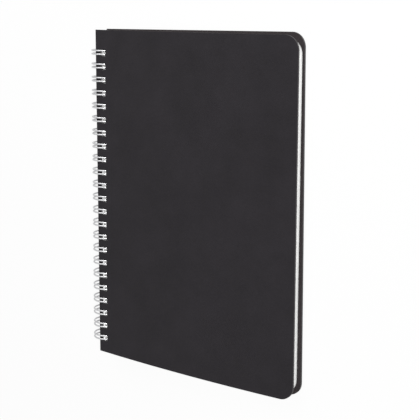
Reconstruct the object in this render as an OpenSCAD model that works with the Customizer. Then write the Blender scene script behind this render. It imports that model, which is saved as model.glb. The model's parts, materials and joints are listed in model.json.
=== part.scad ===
// Wire-bound notebook with loose leather covers, lying closed on its back cover.
// X runs from the spine to the fore edge, Y from the foot of the page to its head
// and Z up. The origin is at the middle of the footprint, on the surface below.

/* [Covers] */
// Width of each cover, from the spine edge to the fore edge
cover_w = 148; // [130:1:165]
// Height of each cover, from foot to head
cover_h = 210; // [206:1:240]
// Thickness of the leather
cover_t = 1.25; // [0.8:0.05:1.5]
// Radius of the two outer corners of each cover
cover_corner_r = 8.5; // [2:0.5:20]
// Height by which the front cover bows up between its edges
front_bow = 2.4; // [1:0.1:4]

/* [Pages] */
// Width of a page
page_w = 145.6; // [125:0.1:146]
// Height of a page
page_h = 205; // [200:1:208]
// Thickness of all the pages together
page_stack = 4.3; // [2:0.1:5]
// Radius of the two outer corners of the pages
page_corner_r = 8.5; // [2:0.5:20]

/* [Punched holes] */
// Width of a hole, across the spine
hole_w = 4.6; // [4.5:0.1:5]
// Length of a hole, along the spine
hole_l = 4; // [3.9:0.1:5]
// Radius of the corners of a hole
hole_corner_r = 0.7; // [0.3:0.1:1.2]
// Distance from a sheet's spine edge to the middle of its holes
hole_margin = 5.35; // [5.2:0.05:5.6]
// Distance of the middle of the row of holes from the middle of the sheet, towards the foot
hole_row_drop = 2.35; // [0:0.05:4]
// Angle by which the sheets are punched askew, so that the row runs nearer the edge at the foot
row_skew = 0.5; // [0:0.05:0.5]

/* [Twin-loop wire] */
// Number of loops
loop_count = 23; // [10:1:23]
// Distance from one loop to the next
loop_pitch = 8.467; // [8:0.01:8.5]
// Thickness of the wire
wire_d = 1; // [0.7:0.05:1.05]
// Radius of the loops, to the middle of the wire
loop_r = 7.65; // [7.55:0.05:7.75]
// Distance between the two strands of a loop, middle to middle
strand_gap = 2.25; // [2:0.05:2.3]
// Radius of the bends where the wire turns from one loop to the next
bend_r = 1; // [0.8:0.05:1.1]

/* [Lie of the sheets] */
// Distance from the front cover's spine edge to the middle of the loops
loop_inset = 0.6; // [0.5:0.05:0.7]
// Distance by which the back cover lies out from under the front cover at the head
back_slip = 0.5; // [0.4:0.05:0.7]
// Angle by which the back cover hangs askew on the wire, out at the foot
back_skew = 0.45; // [0:0.05:0.5]
// Distance from the front cover's spine edge to that of the pages
page_inset = 1.6; // [1.3:0.05:1.8]
// Height of the front cover's underside at the spine, above the middle of the loops
front_rise = 5.15; // [5.1:0.05:5.2]
// Depth of the back cover's inner face at the spine, below the middle of the loops
back_drop = 3.65; // [3.6:0.05:3.7]
// Depth of the last page at the spine, below the middle of the loops
page_drop = 1.2; // [0.9:0.05:1.5]
// Distance by which each cover slips along the wire, the front one to the foot
cover_shear = 0.2; // [0:0.05:0.4]
// Gap left between a cover and the pages at the fore edge
leaf_gap = 0.1; // [0.05:0.05:0.2]

/* [Hidden] */

leather = [0.21, 0.2, 0.21];
paper = [0.95, 0.95, 0.94];
bright_wire = [0.85, 0.85, 0.87];

// Length of the row of loops, from the middle of the first to the middle of the last.
row_l = (loop_count - 1) * loop_pitch;
// Outer radius of the loops, which is also their height above the surface.
loop_outer_r = loop_r + wire_d / 2;

// Places along X and Z that follow are measured from the middle of the loops.
front_edge_x = -loop_inset;
back_edge_x = back_slip - loop_inset;
page_edge_x = page_inset - loop_inset;
page_reach = page_edge_x + page_corner_r + (page_w - page_corner_r) * cos(row_skew)
    + (page_h / 2 - page_corner_r) * sin(row_skew);

// A cover's round corners lie level_x from its spine edge and level_y from its middle. They are
// askew to the row of holes, and those of the back cover turn again about its first hole. They
// then lie furthest out at the foot, by back_reach, and furthest up at the head, by back_top.
first_hole_y = row_l / 2 - hole_row_drop;
level_x = cover_w - cover_corner_r;
level_y = cover_h / 2 - cover_corner_r;
foot_x = level_x * cos(row_skew) + level_y * sin(row_skew) - hole_margin;
foot_y = level_x * sin(row_skew) - level_y * cos(row_skew) - first_hole_y;
head_x = level_x * cos(row_skew) - level_y * sin(row_skew) - hole_margin;
head_y = level_x * sin(row_skew) + level_y * cos(row_skew) - first_hole_y;
back_reach = back_edge_x + hole_margin + foot_x * cos(back_skew) - foot_y * sin(back_skew)
    + cover_corner_r;
back_top = cover_shear + first_hole_y + head_x * sin(back_skew) + head_y * cos(back_skew)
    + cover_corner_r;
front_foot = cover_shear + cover_h / 2 * cos(row_skew);

// The back cover leans on the surface at its fore edge.
back_outer = back_drop + cover_t;
back_tilt = asin(loop_outer_r / norm([back_reach, back_outer])) - atan2(back_outer, back_reach);

// The pages lie on the back cover at its fore edge, and over the seam of the wire at the spine.
page_lift = asin((back_drop - leaf_gap) / norm([page_reach, page_drop]))
    - atan2(page_drop, page_reach);
page_tilt = back_tilt + page_lift;

// The front cover lies on the top page at the fore edge.
page_top = page_stack - page_drop;
page_end_angle = atan2(page_top, page_reach) - page_tilt;
front_tilt = asin((front_rise - leaf_gap) / norm([page_reach, page_top])) - page_end_angle;

// Radius of the bowed front cover's underside, and an arc of it that spans more than the cover.
bow_r = (pow(cover_w / 2, 2) + pow(front_bow, 2)) / (2 * front_bow);
bow_arc = 2 * round(asin(cover_w / 2 / bow_r) + 1);

// The seam of the wire lies between the last page and the back cover. The bars that join the
// loops stand off the back cover by bar_lift, and the tips of the loops stop short of them.
bar_lift = 0.25;
tip_gap = 0.15;
// The wire is a trace thinner where it is bent, and each bend is rooted in its strand.
bent_d = 0.98 * wire_d;
bend_root = 0.1;
bar_depth = back_drop - wire_d / 2 - bar_lift;
bar_angle = asin(bar_depth / loop_r);
bend_angle = bend_r / loop_r * 180 / PI;
tip_r = strand_gap / 2;
tip_angle = (wire_d + tip_gap + tip_r) / loop_r * 180 / PI;
// Where the strands of a loop start, past the bend under the back cover, and where they end,
// to a hundredth of a degree.
strand_start = -round(100 * (bar_angle + bend_angle)) / 100;
strand_end = round(100 * (tip_angle - bar_angle)) / 100 - 360;

// Middle of the loops in the part's own frame.
back_end_x = back_reach * cos(back_tilt) - back_drop * sin(back_tilt);
loop_x = (loop_outer_r - back_end_x) / 2;
loop_y = (front_foot - back_top) / 2;
loop_z = loop_outer_r;

bow_fn = 1800;
wire_fn = 16;
loop_fn = 96;
corner_fn = 48;
$fn = corner_fn;

// Outline of a sheet, askew to its row of holes: square corners at the spine, and round
// corners at the fore edge.
module sheet_outline(w, h, r) {
    rotate([0, 0, row_skew]) {
        translate([0, -h / 2])
            square([w - r, h]);
        translate([0, r - h / 2])
            square([w, h - 2 * r]);
        for (side = [-1, 1])
            translate([w - r, side * (h / 2 - r)])
                circle(r = r);
    }
}

// One punched hole: a square with small round corners, about its middle.
module hole_outline() {
    square([hole_w - 2 * hole_corner_r, hole_l], center = true);
    square([hole_w, hole_l - 2 * hole_corner_r], center = true);
    for (sx = [-1, 1], sy = [-1, 1])
        translate([sx * (hole_w / 2 - hole_corner_r), sy * (hole_l / 2 - hole_corner_r)])
            circle(r = hole_corner_r);
}

// The row of holes along a sheet's spine edge, cut through a thickness of depth.
module hole_row(depth) {
    for (i = [0 : loop_count - 1])
        translate([hole_margin, first_hole_y - i * loop_pitch, -depth / 2])
            linear_extrude(depth)
                hole_outline();
}

// Turns what lies level about the loops by tilt, and sets it in the part's frame.
module lay(tilt) {
    translate([loop_x, loop_y, loop_z])
        rotate([0, tilt, 0])
            children();
}

// The front cover is one sheet of leather, bowed across its width.
module front_cover() {
    color(leather)
        lay(front_tilt)
            translate([front_edge_x, -cover_shear, front_rise])
                difference() {
                    intersection() {
                        linear_extrude(4 * (front_bow + cover_t), center = true)
                            sheet_outline(cover_w, cover_h, cover_corner_r);
                        bow_shell();
                    }
                    hole_row(4 * (front_bow + cover_t));
                }
}

// A sheet of the bowed cover's curve and thickness, longer and wider than the cover.
module bow_shell() {
    translate([cover_w / 2, 0, front_bow - bow_r])
        rotate([90, 0, 0])
            rotate([0, 0, 90 - bow_arc / 2])
                rotate_extrude(angle = bow_arc, $fn = bow_fn)
                    translate([bow_r, -cover_h])
                        square([cover_t, 2 * cover_h]);
}

// The back cover is a flat sheet of the same leather and outline.
module back_cover() {
    color(leather)
        lay(back_tilt)
            translate([back_edge_x + hole_margin, cover_shear + first_hole_y, -back_outer])
                rotate([0, 0, back_skew])
                    translate([-hole_margin, -first_hole_y, 0])
                        difference() {
                            linear_extrude(cover_t)
                                sheet_outline(cover_w, cover_h, cover_corner_r);
                            hole_row(4 * cover_t);
                        }
}

// All the pages, as the one block that they make when closed.
module page_block() {
    color(paper)
        lay(page_tilt)
            translate([page_edge_x, 0, -page_drop])
                difference() {
                    linear_extrude(page_stack)
                        sheet_outline(page_w, page_h, page_corner_r);
                    hole_row(4 * page_stack);
                }
}

// A piece of wire of thickness d, bent round an arc of radius r from angle 0 to sweep in the
// XY plane.
module bent_wire(r, sweep, d, fn) {
    rotate_extrude(angle = sweep, $fn = fn)
        translate([r, 0])
            circle(d = d, $fn = wire_fn);
}

// Carries a piece to an angle round the loop. There X points outwards and Z along the loop.
module on_loop(angle) {
    rotate([0, -angle, 0])
        translate([loop_r, 0, 0])
            children();
}

// One strand of a loop, all the way round from its bend to the tip.
module strand() {
    rotate([90, 0, 0])
        rotate([0, 0, strand_end])
            bent_wire(loop_r, strand_start - strand_end, wire_d, loop_fn);
}

// The round tip that joins the two strands of a loop.
module tip() {
    on_loop(strand_end)
        rotate([0, 90, 0])
            rotate([0, 0, -90])
                bent_wire(tip_r, 180, wire_d, corner_fn);
}

// The bend from a strand into the bar beside it, on the side given. It reaches a little way
// into the end of the strand.
module bend(side) {
    translate([0, side * strand_gap / 2, -bend_root])
        cylinder(h = bend_root, d = bent_d, $fn = wire_fn);
    translate([0, side * (strand_gap / 2 + bend_r), 0])
        rotate([0, -90, 0])
            rotate([0, 0, side > 0 ? -90 : 0])
                bent_wire(bend_r, 90, bent_d, corner_fn);
}

// The straight bar that joins one loop to the next, from bend to bend.
module bar() {
    bar_l = loop_pitch - strand_gap - 2 * bend_r;
    translate([0, -loop_pitch / 2, bend_r])
        rotate([90, 0, 0])
            cylinder(h = bar_l, d = bent_d, center = true, $fn = wire_fn);
}

// One loop: two strands that meet in the tip.
module loop() {
    for (side = [-1, 1])
        translate([0, side * strand_gap / 2, 0])
            strand();
    tip();
}

// The link from one loop to the next: a bend, a bar and a bend.
module link() {
    on_loop(strand_start) {
        bend(-1);
        bar();
        translate([0, -loop_pitch, 0])
            bend(1);
    }
}

// The whole binding is one wire, bent to and fro into a comb and rolled into loops.
module wire_binding() {
    color(bright_wire)
        translate([loop_x, loop_y + first_hole_y, loop_z])
            for (i = [0 : loop_count - 1])
                translate([0, -i * loop_pitch, 0]) {
                    loop();
                    if (i < loop_count - 1)
                        link();
                }
}

front_cover();
back_cover();
page_block();
wire_binding();
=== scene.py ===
"""Dresses the solids of a wire-bound leather notebook: two leather covers, the pages
between them and the twin-loop wire through all three, lying closed on a pale floor."""

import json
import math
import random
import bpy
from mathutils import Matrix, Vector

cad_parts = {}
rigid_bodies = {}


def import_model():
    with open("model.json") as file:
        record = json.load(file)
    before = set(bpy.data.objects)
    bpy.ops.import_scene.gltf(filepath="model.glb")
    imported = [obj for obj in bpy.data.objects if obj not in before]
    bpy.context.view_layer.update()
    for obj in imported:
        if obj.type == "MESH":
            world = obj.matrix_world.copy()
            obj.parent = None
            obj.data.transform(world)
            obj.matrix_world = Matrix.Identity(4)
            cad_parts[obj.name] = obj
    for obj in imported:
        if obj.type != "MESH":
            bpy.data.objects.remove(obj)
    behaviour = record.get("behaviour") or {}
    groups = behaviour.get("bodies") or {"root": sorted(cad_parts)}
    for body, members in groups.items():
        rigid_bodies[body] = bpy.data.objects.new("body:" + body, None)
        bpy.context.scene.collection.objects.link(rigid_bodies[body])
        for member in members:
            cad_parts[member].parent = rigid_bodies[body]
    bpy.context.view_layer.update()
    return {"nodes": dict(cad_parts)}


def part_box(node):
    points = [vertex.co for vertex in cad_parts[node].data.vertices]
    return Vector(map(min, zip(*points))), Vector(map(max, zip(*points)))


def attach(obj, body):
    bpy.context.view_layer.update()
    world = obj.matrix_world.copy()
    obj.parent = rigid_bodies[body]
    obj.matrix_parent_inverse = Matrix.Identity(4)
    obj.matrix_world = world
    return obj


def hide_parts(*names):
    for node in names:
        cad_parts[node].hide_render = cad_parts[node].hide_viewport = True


bl_info = {
    "name": "Wire-bound leather notebook",
    "version": (1, 0, 0),
    "blender": (4, 5, 0),
    "location": "3D View > Sidebar > Notebook",
    "description": "Makes the covers, pages, wire and studio of a notebook",
    "category": "Object",
}

import bmesh
import bpy
from mathutils import Vector

for leftover in list(bpy.data.objects):
    bpy.data.objects.remove(leftover)
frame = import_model()

# Lengths are in metres, but for the camera's lens and sensor, which are in millimetres.

# Cleaning a copy of a solid's mesh
WELD_DISTANCE = 2e-6
FLAT_ANGLE = math.radians(0.02)

# Leather: the edges that are eased, and which faces belong to a flat side of the sheet
SHARP_ANGLE = math.radians(50)
EDGE_SEGMENTS = 2
SHEET_SIDE_COSINE = 0.9
GRAIN, LINING, CUT = range(3)

# Pages: the cuts between leaves, and which corners and faces lie at the trimmed edges
LEAF_CUT_DISTANCE = 1e-7
LEAF_SEED = 7
TRIMMED_EDGE_SLANT = 0.1
PAGE_SIDE_COSINE = 0.97
PAGE_FACE, PAGE_EDGE = range(2)

# Wire: the straight pieces in each bend, and how round the wire is
TIP_STEPS = 12
BEND_STEPS = 5
WIRE_ROUNDNESS = 4
WIRE_WELD_DISTANCE = 1e-7

# Finishes: how far the pebbles of the grain wander from an even pattern, and the part
# of a pebble that its crease takes
GRAIN_WANDER = 0.0004
CREASE_SHARE = 0.22

# The places of a Mix node's factor and colours, whose names several sockets share
MIX_FACTOR, MIX_FIRST, MIX_SECOND = 0, 6, 7
MIX_RESULT = 2

# Studio: the lamps face the middle of the notebook, from where they hang
WHITE = (1.0, 1.0, 1.0, 1.0)
MIDDLE = (0.0, 0.0, 0.0)
FRONT_LAMP_PLACE = (1.05, 0.3, 1.15)
FRONT_LAMP_WIDTH = 0.4
HEAD_LAMP_PLACE = (-0.1, 0.42, 0.36)
HEAD_LAMP_WIDTH = 0.3

# Camera: its sensor, and the range of distances that it sees
SENSOR_WIDTH_MM = 36.0
NEAREST_SEEN = 0.01
FARTHEST_SEEN = 50.0


# ---------------------------------------------------------------- finishes


class Signal:
    """An output socket of a finish. Adding and multiplying it adds Math nodes."""

    def __init__(self, finish, socket):
        self.finish = finish
        self.socket = socket

    def __add__(self, other):
        return self.finish.math("ADD", self, other)

    def __radd__(self, other):
        return self.finish.math("ADD", other, self)

    def __mul__(self, other):
        return self.finish.math("MULTIPLY", self, other)

    def __rmul__(self, other):
        return self.finish.math("MULTIPLY", other, self)


class Finish:
    """A material, or the world, whose nodes are written as expressions."""

    def __init__(self, owner):
        owner.use_nodes = True
        self.owner = owner
        self.tree = owner.node_tree
        self.tree.nodes.clear()

    def node(self, kind, settings=None, sockets=None, output=0):
        """Adds a node: its settings come first, then its sockets' values or links."""
        made = self.tree.nodes.new(kind)
        for name, value in (settings or {}).items():
            if name == "stops":
                self.set_stops(made.color_ramp, value)
            else:
                setattr(made, name, value)
        for name, value in (sockets or {}).items():
            if isinstance(value, Signal):
                self.tree.links.new(value.socket, made.inputs[name])
            else:
                made.inputs[name].default_value = value
        return Signal(self, made.outputs[output]) if made.outputs else None

    def set_stops(self, ramp, stops):
        """Gives a colour ramp its stops, each a place and a shade of grey."""
        while len(ramp.elements) < len(stops):
            ramp.elements.new(0.5)
        for element, (place, shade) in zip(ramp.elements, stops):
            element.position = place
            element.color = (shade, shade, shade, 1.0)

    def math(self, operation, first, second):
        settings = {"operation": operation}
        return self.node("ShaderNodeMath", settings, {0: first, 1: second})

    def place(self):
        """The point on the surface, in metres."""
        return self.node("ShaderNodeTexCoord", output="Object")

    def noise(self, at, scale, detail=3.0, roughness=0.5):
        return self.node(
            "ShaderNodeTexNoise",
            {},
            {"Vector": at, "Scale": scale, "Detail": detail, "Roughness": roughness},
        )

    def stretched(self, at, scale):
        """The same point with its axes scaled apart, for grain that runs one way."""
        return self.node("ShaderNodeMapping", {}, {"Vector": at, "Scale": scale})

    def ramp(self, value, *stops):
        return self.node("ShaderNodeValToRGB", {"stops": stops}, {0: value})

    def blend_colours(self, factor, first, second):
        """Goes from the first colour to the second as the factor goes from 0 to 1."""
        settings = {"data_type": "RGBA"}
        sockets = {MIX_FACTOR: factor, MIX_FIRST: first, MIX_SECOND: second}
        return self.node("ShaderNodeMix", settings, sockets, MIX_RESULT)

    def blend_shaders(self, factor, first, second):
        """Goes from the first shader to the second as the factor goes from 0 to 1."""
        return self.node("ShaderNodeMixShader", {}, {0: factor, 1: first, 2: second})

    def bump(self, height, strength, distance):
        sockets = {"Height": height, "Strength": strength, "Distance": distance}
        return self.node("ShaderNodeBump", {}, sockets)

    def principled(self, colour, roughness, normal, specular=0.5, metallic=0.0):
        """The shader of a surface, whose specular and metallic are plain numbers."""
        sockets = {
            "Base Color": colour,
            "Roughness": roughness,
            "Normal": normal,
            "Specular IOR Level": specular,
            "Metallic": metallic,
        }
        return self.node("ShaderNodeBsdfPrincipled", {}, sockets)

    def show(self, shader, output="ShaderNodeOutputMaterial"):
        """Joins a shader to the output, and gives back the material or the world."""
        self.node(output, {}, {"Surface": shader})
        return self.owner


def rgba(colour):
    """A colour with its full opacity."""
    return (*colour[:3], 1.0)


def shaded(colour, share):
    """A colour made lighter or darker by a share of itself."""
    return tuple(min(1.0, c * share) for c in colour[:3]) + (1.0,)


def leather_grain(sizes):
    """The outer side: dark, matt and finely pebbled, with a faint cloudy mottle."""
    f = Finish(bpy.data.materials.new("leather_grain"))
    at = f.place()
    cloud = f.noise(at, scale=45.0, detail=4.0, roughness=0.6)
    fleck = f.noise(at, scale=900.0, detail=2.0, roughness=0.55)
    wander = f.noise(at, scale=1.6 / sizes.grain_size, detail=2.0)
    nudged = f.node(
        "ShaderNodeVectorMath",
        {"operation": "MULTIPLY_ADD"},
        {0: wander, 1: (GRAIN_WANDER,) * 3, 2: at},
    )
    pebbles = f.node(
        "ShaderNodeTexVoronoi",
        {"feature": "DISTANCE_TO_EDGE"},
        {"Vector": nudged, "Scale": 1.0 / sizes.grain_size},
    )
    crease = f.ramp(pebbles, (0.0, 0.0), (CREASE_SHARE, 1.0))
    pores = f.noise(at, scale=4200.0, detail=2.0, roughness=0.6)
    tone = cloud * 0.7 + fleck * 0.3
    height = crease * 0.7 + pores * 0.3
    shader = f.principled(
        f.blend_colours(
            f.ramp(tone, (0.3, 0.0), (0.7, 1.0)),
            shaded(sizes.grain_colour, share=0.76),
            shaded(sizes.grain_colour, share=1.24),
        ),
        roughness=0.54 + cloud * 0.18,
        normal=f.bump(height, strength=0.7, distance=sizes.grain_depth),
        specular=0.12,
    )
    return f.show(shader)


def leather_lining(sizes):
    """The inner side: the brownish, brushed flesh side of the same hide."""
    f = Finish(bpy.data.materials.new("leather_lining"))
    at = f.place()
    cloud = f.noise(at, scale=70.0, detail=4.0, roughness=0.6)
    brushed = f.stretched(at, (1.0, 0.45, 1.0))
    nap = f.noise(brushed, scale=2600.0, detail=4.0, roughness=0.7)
    shader = f.principled(
        f.blend_colours(
            f.ramp(cloud * 0.4 + nap * 0.6, (0.3, 0.0), (0.7, 1.0)),
            shaded(sizes.lining_colour, share=0.82),
            shaded(sizes.lining_colour, share=1.18),
        ),
        roughness=0.84 + nap * 0.12,
        normal=f.bump(nap, strength=0.5, distance=0.00012),
        specular=0.2,
    )
    return f.show(shader)


def leather_cut(sizes):
    """The cut edge: fibres laid flat in the thickness of the sheet."""
    f = Finish(bpy.data.materials.new("leather_cut"))
    layered = f.stretched(f.place(), (1.0, 1.0, 5.0))
    fibre = f.noise(layered, scale=1500.0, detail=3.0, roughness=0.65)
    shader = f.principled(
        f.blend_colours(
            f.ramp(fibre, (0.32, 0.0), (0.68, 1.0)),
            shaded(sizes.cut_colour, share=0.75),
            shaded(sizes.cut_colour, share=1.25),
        ),
        roughness=0.78 + fibre * 0.14,
        normal=f.bump(fibre, strength=0.45, distance=0.0001),
        specular=0.25,
    )
    return f.show(shader)


def page_face(sizes):
    """The face of a page: smooth white paper with a trace of fibre."""
    f = Finish(bpy.data.materials.new("page_face"))
    at = f.place()
    fibre = f.noise(at, scale=1800.0, detail=3.0, roughness=0.6)
    cloud = f.noise(at, scale=60.0, detail=3.0)
    shader = f.principled(
        f.blend_colours(
            cloud * 0.6 + fibre * 0.4,
            shaded(sizes.paper_colour, share=0.975),
            rgba(sizes.paper_colour),
        ),
        roughness=0.8 + fibre * 0.1,
        normal=f.bump(fibre, strength=0.15, distance=0.00004),
        specular=0.2,
    )
    return f.show(shader)


def page_edges(sizes):
    """The trimmed edges of the pages: one fine line for every few sheets."""
    f = Finish(bpy.data.materials.new("page_edges"))
    layered = f.stretched(f.place(), (0.03, 0.03, 1.0))
    lines = f.noise(layered, scale=0.9 / sizes.leaf_step, detail=2.0, roughness=0.6)
    shader = f.principled(
        f.blend_colours(
            f.ramp(lines, (0.36, 0.0), (0.62, 1.0)),
            shaded(sizes.paper_colour, share=0.93),
            shaded(sizes.paper_colour, share=1.07),
        ),
        roughness=0.82 + lines * 0.1,
        normal=f.bump(lines, strength=0.4, distance=0.00008),
        specular=0.15,
    )
    return f.show(shader)


def drawn_wire(sizes):
    """Bright drawn steel, with fine marks of the rollers that bent it."""
    f = Finish(bpy.data.materials.new("drawn_wire"))
    at = f.place()
    rolled = f.stretched(at, (1.0, 3.0, 1.0))
    marks = f.noise(rolled, scale=1400.0, detail=3.0, roughness=0.6)
    haze = f.noise(at, scale=160.0, detail=2.0)
    shader = f.principled(
        f.blend_colours(
            haze, shaded(sizes.wire_colour, share=0.94), rgba(sizes.wire_colour)
        ),
        roughness=0.22 + marks * 0.12,
        normal=f.bump(marks, strength=0.12, distance=0.00002),
        metallic=1.0,
    )
    return f.show(shader)


def seen_rays(f):
    """1 for the rays of the camera and of reflections, 0 for the light that falls."""
    camera = f.node("ShaderNodeLightPath", output="Is Camera Ray")
    glossy = f.node("ShaderNodeLightPath", output="Is Glossy Ray")
    through = f.node("ShaderNodeLightPath", output="Is Transmission Ray")
    return f.math("MINIMUM", camera + glossy + through, 1.0)


def studio_floor(sizes):
    """White to the camera and in reflections, but for the shadow of the notebook."""
    f = Finish(bpy.data.materials.new("studio_floor"))
    seen = seen_rays(f)
    shadowed = f.node(
        "ShaderNodeBsdfDiffuse", {}, {"Color": rgba((sizes.floor_shade,) * 3)}
    )
    white = f.node("ShaderNodeEmission", {}, {"Color": WHITE, "Strength": 1.0})
    return f.show(f.blend_shaders(seen * sizes.floor_glow, shadowed, white))


def studio_light(sizes):
    """An even light all round, which the camera and reflections see as white."""
    f = Finish(bpy.data.worlds.new("studio_light"))
    seen = seen_rays(f)
    sockets = {"Color": WHITE, "Strength": sizes.sky_strength}
    even = f.node("ShaderNodeBackground", {}, sockets)
    white = f.node("ShaderNodeBackground", {}, {"Color": WHITE, "Strength": 1.0})
    return f.show(f.blend_shaders(seen, even, white), "ShaderNodeOutputWorld")


# ------------------------------------------------------------------ shapes


def merged_solid(node):
    """A copy of a solid's mesh, its loose triangles joined and its flat faces whole."""
    shape = bmesh.new()
    shape.from_mesh(frame["nodes"][node].data)
    bmesh.ops.remove_doubles(shape, verts=shape.verts, dist=WELD_DISTANCE)
    bmesh.ops.dissolve_limit(
        shape,
        angle_limit=FLAT_ANGLE,
        use_dissolve_boundaries=False,
        verts=shape.verts,
        edges=shape.edges,
        delimit=set(),
    )
    return shape


def sheet_normal(shape):
    """The direction square to a flat sheet, upwards: that of its largest face."""
    face = max(shape.faces, key=lambda f: f.calc_area())
    normal = face.normal.copy()
    return normal if normal.z > 0 else -normal


def ease_edges(shape, width):
    """Rounds every edge where two sides of a sheet meet."""
    sharp = [
        e for e in shape.edges if e.is_manifold and e.calc_face_angle() > SHARP_ANGLE
    ]
    bmesh.ops.bevel(
        shape,
        geom=sharp,
        affect="EDGES",
        offset=width,
        offset_type="OFFSET",
        segments=EDGE_SEGMENTS,
        profile=0.5,
        material=-1,
        loop_slide=False,
        clamp_overlap=True,
    )


def finished_piece(shape, name, body, node, finishes):
    """The piece of a shape, with its finishes, riding on a body in place of a solid."""
    mesh = bpy.data.meshes.new(name)
    shape.to_mesh(mesh)
    shape.free()
    for finish in finishes:
        mesh.materials.append(finish)
    piece = bpy.data.objects.new(name, mesh)
    bpy.context.scene.collection.objects.link(piece)
    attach(piece, body)
    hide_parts(node)
    return piece


def smooth_faces(piece):
    """Shades every face of a piece smooth."""
    for face in piece.data.polygons:
        face.use_smooth = True


def even_shading(piece):
    """Smooth rounded edges beside flat faces that stay flat."""
    smooth_faces(piece)
    weighted = piece.modifiers.new("even_shading", "WEIGHTED_NORMAL")
    weighted.weight = 100
    weighted.keep_sharp = True


def leather_sheet(node, name, body, sizes, grain_up):
    """A cover: its grain side, its lining and its cut edge, with every edge eased."""
    shape = merged_solid(node)
    ease_edges(shape, sizes.edge_round)
    shape.normal_update()
    up = sheet_normal(shape)
    outwards = up if grain_up else -up
    for face in shape.faces:
        rise = face.normal.dot(outwards)
        if rise > SHEET_SIDE_COSINE:
            face.material_index = GRAIN
        elif rise < -SHEET_SIDE_COSINE:
            face.material_index = LINING
        else:
            face.material_index = CUT
    finishes = [leather_grain(sizes), leather_lining(sizes), leather_cut(sizes)]
    piece = finished_piece(shape, name, body, node, finishes)
    even_shading(piece)


def leafed_block(node, sizes):
    """The pages: a block whose trimmed edges step in and out a little, leaf by leaf."""
    shape = merged_solid(node)
    up = sheet_normal(shape)
    heights = [v.co.dot(up) for v in shape.verts]
    low, high = min(heights), max(heights)
    count = max(2, round((high - low) / sizes.leaf_step))
    for i in range(1, count):
        level = low + (high - low) * i / count
        bmesh.ops.bisect_plane(
            shape,
            geom=shape.verts[:] + shape.edges[:] + shape.faces[:],
            dist=LEAF_CUT_DISTANCE,
            plane_co=up * level,
            plane_no=up,
        )
    shape.normal_update()
    jitter = random.Random(LEAF_SEED)
    shifts = [jitter.uniform(-1, 1) * sizes.leaf_jitter for _ in range(count + 1)]
    shifts[0] = shifts[-1] = -sizes.leaf_jitter
    moves = []
    for vert in shape.verts:
        layer = round((vert.co.dot(up) - low) / (high - low) * count)
        out = vert.normal - up * vert.normal.dot(up)
        if out.length > TRIMMED_EDGE_SLANT:
            moves.append((vert, out.normalized() * shifts[layer]))
    for vert, move in moves:
        vert.co += move
    for face in shape.faces:
        on_side = abs(face.normal.dot(up)) > PAGE_SIDE_COSINE
        face.material_index = PAGE_FACE if on_side else PAGE_EDGE
    return shape


def wire_line(sizes):
    """The middle line of the wire: strand, tip, strand and bar for each loop in turn.

    An angle round a loop is 0 towards the fore edge, and a quarter turn at the top.
    """
    low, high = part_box("wire_binding")
    half_wire = sizes.wire_size / 2
    half_gap = sizes.strand_gap / 2
    middle = Vector((low.x + sizes.loop_radius + half_wire, 0, low.z))
    middle.z += sizes.loop_radius + half_wire
    first_y = high.y - half_wire - half_gap
    bend = sizes.bend_radius

    def on_loop(angle, along, rise):
        """A point at an angle round the loop, moved along the spine and on round it."""
        out = Vector((math.cos(angle), 0, math.sin(angle)))
        on = Vector((-math.sin(angle), 0, math.cos(angle)))
        return middle + out * sizes.loop_radius + on * rise + Vector((0, along, 0))

    points = []
    start, end = sizes.seam_start, sizes.tip_end - math.tau
    for i in range(sizes.loop_count):
        y = first_y - i * sizes.loop_pitch
        # The first strand, from the bar round to the tip
        for step in range(sizes.loop_steps + 1):
            angle = start + (end - start) * step / sizes.loop_steps
            points.append(on_loop(angle, y + half_gap, 0))
        # The tip
        for step in range(1, TIP_STEPS):
            turn = math.pi * step / TIP_STEPS
            along = y + half_gap * math.cos(turn)
            points.append(on_loop(end, along, -half_gap * math.sin(turn)))
        # The second strand, back to the bars
        for step in range(sizes.loop_steps + 1):
            angle = end + (start - end) * step / sizes.loop_steps
            points.append(on_loop(angle, y - half_gap, 0))
        if i == sizes.loop_count - 1:
            break
        # The bend into the bar, and the one out of it at the next loop
        for step in range(1, BEND_STEPS + 1):
            turn = math.pi / 2 * step / BEND_STEPS
            along = y - half_gap - bend + bend * math.cos(turn)
            points.append(on_loop(start, along, bend * math.sin(turn)))
        for step in range(BEND_STEPS):
            turn = math.pi / 2 * (1 - step / BEND_STEPS)
            along = y - sizes.loop_pitch + half_gap + bend - bend * math.cos(turn)
            points.append(on_loop(start, along, bend * math.sin(turn)))
    return points


def swept_wire(context, sizes):
    """The shape of the wire, round along its middle line and closed at both ends."""
    points = wire_line(sizes)
    line = bpy.data.curves.new("wire_line", "CURVE")
    line.dimensions = "3D"
    line.bevel_depth = sizes.wire_size / 2
    line.bevel_resolution = WIRE_ROUNDNESS
    line.use_fill_caps = True
    spline = line.splines.new("POLY")
    spline.points.add(len(points) - 1)
    for point, place in zip(spline.points, points):
        point.co = (*place, 1.0)
    drawn = bpy.data.objects.new("wire_line", line)
    context.scene.collection.objects.link(drawn)
    context.view_layer.update()
    rolled = bpy.data.meshes.new_from_object(
        drawn.evaluated_get(context.evaluated_depsgraph_get())
    )
    shape = bmesh.new()
    shape.from_mesh(rolled)
    bmesh.ops.remove_doubles(shape, verts=shape.verts, dist=WIRE_WELD_DISTANCE)
    bmesh.ops.recalc_face_normals(shape, faces=shape.faces)
    bpy.data.objects.remove(drawn)
    bpy.data.meshes.remove(rolled)
    bpy.data.curves.remove(line)
    return shape


# ------------------------------------------------------------------ studio


def lay_floor(scene, sizes):
    """The floor, which isn't part of the notebook."""
    shape = bmesh.new()
    bmesh.ops.create_grid(
        shape, x_segments=1, y_segments=1, size=sizes.floor_size / 2
    )
    mesh = bpy.data.meshes.new("floor")
    shape.to_mesh(mesh)
    shape.free()
    mesh.materials.append(studio_floor(sizes))
    floor = bpy.data.objects.new("floor", mesh)
    scene.collection.objects.link(floor)


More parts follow.
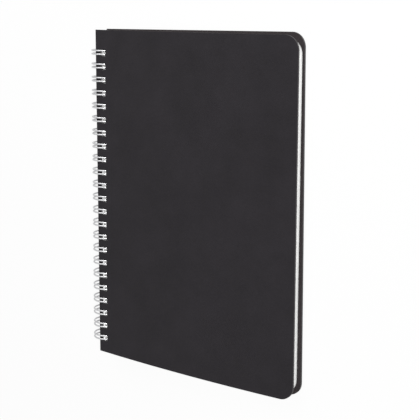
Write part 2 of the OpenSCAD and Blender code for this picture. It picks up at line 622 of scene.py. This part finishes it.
def hang_lamp(scene, name, place, width, power):
    """A square lamp that faces the middle of the notebook."""
    data = bpy.data.lights.new(name, "AREA")
    data.shape = "SQUARE"
    data.size = width
    data.energy = power
    lamp = bpy.data.objects.new(name, data)
    lamp.location = place
    aim = Vector(MIDDLE) - Vector(place)
    lamp.rotation_euler = aim.to_track_quat("-Z", "Y").to_euler()
    scene.collection.objects.link(lamp)


def set_camera(scene, sizes):
    """The camera, whose lens and shift frame the whole notebook."""
    data = bpy.data.cameras.new("camera")
    data.lens = sizes.camera_lens
    data.sensor_width = SENSOR_WIDTH_MM
    data.shift_y = sizes.camera_shift
    data.clip_start = NEAREST_SEEN
    data.clip_end = FARTHEST_SEEN
    camera = bpy.data.objects.new("camera", data)
    camera.location = sizes.camera_place
    camera.rotation_euler = sizes.camera_turn
    scene.collection.objects.link(camera)
    scene.camera = camera


# --------------------------------------------------------------- settings


class CoverSettings(bpy.types.PropertyGroup):
    """Sizes and colours of the two leather covers."""

    edge_round: bpy.props.FloatProperty(
        name="Edge rounding",
        description="Radius of the worn edges of the leather",
        default=0.00022,
        min=0.00005,
        max=0.0005,
        unit="LENGTH",
    )
    grain_size: bpy.props.FloatProperty(
        name="Grain size",
        description="Width of one pebble of the grain",
        default=0.0007,
        min=0.0003,
        max=0.003,
        unit="LENGTH",
    )
    grain_depth: bpy.props.FloatProperty(
        name="Grain depth",
        description="Depth of the creases of the grain",
        default=0.00009,
        min=0.0,
        max=0.0005,
        unit="LENGTH",
    )
    grain_colour: bpy.props.FloatVectorProperty(
        name="Grain side",
        description="Colour of the outer side of the leather",
        subtype="COLOR",
        default=(0.0192, 0.0172, 0.0199),
        min=0.0,
        max=1.0,
    )
    lining_colour: bpy.props.FloatVectorProperty(
        name="Inner side",
        description="Colour of the flesh side of the leather",
        subtype="COLOR",
        default=(0.0325, 0.0272, 0.0285),
        min=0.0,
        max=1.0,
    )
    cut_colour: bpy.props.FloatVectorProperty(
        name="Cut edge",
        description="Colour of the cut edges of the leather",
        subtype="COLOR",
        default=(0.07, 0.066, 0.068),
        min=0.0,
        max=1.0,
    )


class PageSettings(bpy.types.PropertyGroup):
    """Sizes and colour of the pages."""

    leaf_step: bpy.props.FloatProperty(
        name="Leaf step",
        description="Thickness of the leaves that show apart at the edges",
        default=0.00018,
        min=0.0001,
        max=0.001,
        unit="LENGTH",
    )
    leaf_jitter: bpy.props.FloatProperty(
        name="Leaf jitter",
        description="Distance by which a leaf's edge stands in or out",
        default=0.00004,
        min=0.0,
        max=0.0003,
        unit="LENGTH",
    )
    paper_colour: bpy.props.FloatVectorProperty(
        name="Paper",
        description="Colour of the paper",
        subtype="COLOR",
        default=(0.86, 0.86, 0.85),
        min=0.0,
        max=1.0,
    )


class WireSettings(bpy.types.PropertyGroup):
    """Sizes and colour of the twin-loop wire."""

    wire_size: bpy.props.FloatProperty(
        name="Wire",
        description="Thickness of the wire",
        default=0.001,
        min=0.0007,
        max=0.00105,
        unit="LENGTH",
    )
    loop_radius: bpy.props.FloatProperty(
        name="Loop radius",
        description="Radius of the loops, to the middle of the wire",
        default=0.00765,
        min=0.00755,
        max=0.00775,
        unit="LENGTH",
    )
    loop_pitch: bpy.props.FloatProperty(
        name="Pitch",
        description="Distance from one loop to the next",
        default=0.008467,
        min=0.008,
        max=0.0085,
        unit="LENGTH",
    )
    loop_count: bpy.props.IntProperty(
        name="Loops",
        description="Number of loops",
        default=23,
        min=2,
        max=40,
    )
    strand_gap: bpy.props.FloatProperty(
        name="Strand gap",
        description="Distance between the two strands of a loop",
        default=0.00225,
        min=0.002,
        max=0.0023,
        unit="LENGTH",
    )
    bend_radius: bpy.props.FloatProperty(
        name="Bend radius",
        description="Radius of the bends into the bars between the loops",
        default=0.001,
        min=0.0008,
        max=0.0011,
        unit="LENGTH",
    )
    seam_start: bpy.props.FloatProperty(
        name="Seam",
        description="Angle round the loop at which its strands leave the bars",
        default=math.radians(-29.77),
        subtype="ANGLE",
    )
    tip_end: bpy.props.FloatProperty(
        name="Tip",
        description="Angle round the loop at which its strands turn into the tip",
        default=math.radians(-5.24),
        subtype="ANGLE",
    )
    loop_steps: bpy.props.IntProperty(
        name="Steps",
        description="Number of straight pieces in each strand",
        default=56,
        min=24,
        max=96,
    )
    wire_colour: bpy.props.FloatVectorProperty(
        name="Wire colour",
        description="Colour of the bright steel",
        subtype="COLOR",
        default=(0.58, 0.58, 0.59),
        min=0.0,
        max=1.0,
    )


class StudioSettings(bpy.types.PropertyGroup):
    """The floor, the lamps and the camera."""

    floor_size: bpy.props.FloatProperty(
        name="Floor",
        description="Width of the floor",
        default=14.0,
        min=2.0,
        unit="LENGTH",
    )
    floor_shade: bpy.props.FloatProperty(
        name="Floor shade",
        description="How pale the floor is",
        default=0.9,
        min=0.0,
        max=1.0,
    )
    floor_glow: bpy.props.FloatProperty(
        name="Floor glow",
        description="How far the floor is lifted to white for the camera",
        default=0.91,
        min=0.0,
        max=1.0,
    )
    sky_strength: bpy.props.FloatProperty(
        name="Sky",
        description="Strength of the even light all round",
        default=0.29,
        min=0.0,
    )
    front_power: bpy.props.FloatProperty(
        name="Front lamp",
        description="Power of the lamp before the fore edge",
        default=19.0,
        min=0.0,
    )
    head_power: bpy.props.FloatProperty(
        name="Head lamp",
        description="Power of the lamp beyond the head",
        default=0.95,
        min=0.0,
    )
    camera_place: bpy.props.FloatVectorProperty(
        name="Camera",
        description="Where the camera stands",
        subtype="TRANSLATION",
        default=(0.38548, 0.12625, 0.4702),
    )
    camera_turn: bpy.props.FloatVectorProperty(
        name="Camera turn",
        description="How the camera is turned",
        subtype="EULER",
        default=(math.radians(-9.255), math.radians(38.76), math.radians(0.73)),
    )
    camera_lens: bpy.props.FloatProperty(
        name="Lens",
        description="Focal length of the camera, in millimetres",
        default=87.01,
        min=20.0,
    )
    camera_shift: bpy.props.FloatProperty(
        name="Shift",
        description="Upward shift of the camera's frame",
        default=-0.1,
    )


# -------------------------------------------------------------- operators


class NOTEBOOK_OT_front_cover(bpy.types.Operator):
    """Makes the bowed front cover"""

    bl_idname = "notebook.front_cover"
    bl_label = "Front cover"

    def execute(self, context):
        sizes = context.scene.notebook_covers
        leather_sheet("front_cover", "front_leather", "front", sizes, grain_up=True)
        return {"FINISHED"}


class NOTEBOOK_OT_back_cover(bpy.types.Operator):
    """Makes the flat back cover"""

    bl_idname = "notebook.back_cover"
    bl_label = "Back cover"

    def execute(self, context):
        sizes = context.scene.notebook_covers
        leather_sheet("back_cover", "back_leather", "back", sizes, grain_up=False)
        return {"FINISHED"}


class NOTEBOOK_OT_pages(bpy.types.Operator):
    """Makes the block of pages"""

    bl_idname = "notebook.pages"
    bl_label = "Pages"

    def execute(self, context):
        sizes = context.scene.notebook_pages
        shape = leafed_block("page_block", sizes)
        finishes = [page_face(sizes), page_edges(sizes)]
        finished_piece(shape, "leaves", "book", "page_block", finishes)
        return {"FINISHED"}


class NOTEBOOK_OT_wire(bpy.types.Operator):
    """Makes the twin-loop wire"""

    bl_idname = "notebook.wire"
    bl_label = "Wire"

    def execute(self, context):
        sizes = context.scene.notebook_wire
        shape = swept_wire(context, sizes)
        finishes = [drawn_wire(sizes)]
        piece = finished_piece(
            shape, "twin_loop_wire", "book", "wire_binding", finishes
        )
        smooth_faces(piece)
        return {"FINISHED"}


class NOTEBOOK_OT_studio(bpy.types.Operator):
    """Sets the floor, the lamps and the camera"""

    bl_idname = "notebook.studio"
    bl_label = "Studio"

    def execute(self, context):
        scene = context.scene
        sizes = scene.notebook_studio
        lay_floor(scene, sizes)
        scene.world = studio_light(sizes)
        hang_lamp(
            scene, "front_lamp", FRONT_LAMP_PLACE, FRONT_LAMP_WIDTH, sizes.front_power
        )
        hang_lamp(
            scene, "head_lamp", HEAD_LAMP_PLACE, HEAD_LAMP_WIDTH, sizes.head_power
        )
        set_camera(scene, sizes)
        scene.view_settings.view_transform = "Standard"
        return {"FINISHED"}


class NOTEBOOK_PT_panel(bpy.types.Panel):
    """Lists the notebook's pieces and their settings"""

    bl_idname = "NOTEBOOK_PT_panel"
    bl_label = "Notebook"
    bl_space_type = "VIEW_3D"
    bl_region_type = "UI"
    bl_category = "Notebook"

    def draw(self, context):
        for group, operators in PANEL_ROWS:
            settings = getattr(context.scene, group)
            box = self.layout.box()
            for name in SETTINGS[group].__annotations__:
                box.prop(settings, name)
            for operator in operators:
                box.operator(operator)


PANEL_ROWS = (
    ("notebook_covers", ("notebook.front_cover", "notebook.back_cover")),
    ("notebook_pages", ("notebook.pages",)),
    ("notebook_wire", ("notebook.wire",)),
    ("notebook_studio", ("notebook.studio",)),
)
SETTINGS = {
    "notebook_covers": CoverSettings,
    "notebook_pages": PageSettings,
    "notebook_wire": WireSettings,
    "notebook_studio": StudioSettings,
}
CLASSES = (
    CoverSettings,
    PageSettings,
    WireSettings,
    StudioSettings,
    NOTEBOOK_OT_front_cover,
    NOTEBOOK_OT_back_cover,
    NOTEBOOK_OT_pages,
    NOTEBOOK_OT_wire,
    NOTEBOOK_OT_studio,
    NOTEBOOK_PT_panel,
)


def register():
    for cls in CLASSES:
        bpy.utils.register_class(cls)
    for name, group in SETTINGS.items():
        setattr(bpy.types.Scene, name, bpy.props.PointerProperty(type=group))


def unregister():
    for name in SETTINGS:
        delattr(bpy.types.Scene, name)
    for cls in reversed(CLASSES):
        bpy.utils.unregister_class(cls)


def main():
    """Makes every piece and the studio."""
    register()
    bpy.ops.notebook.front_cover()
    bpy.ops.notebook.back_cover()
    bpy.ops.notebook.pages()
    bpy.ops.notebook.wire()
    bpy.ops.notebook.studio()


if __name__ == "__main__":
    main()
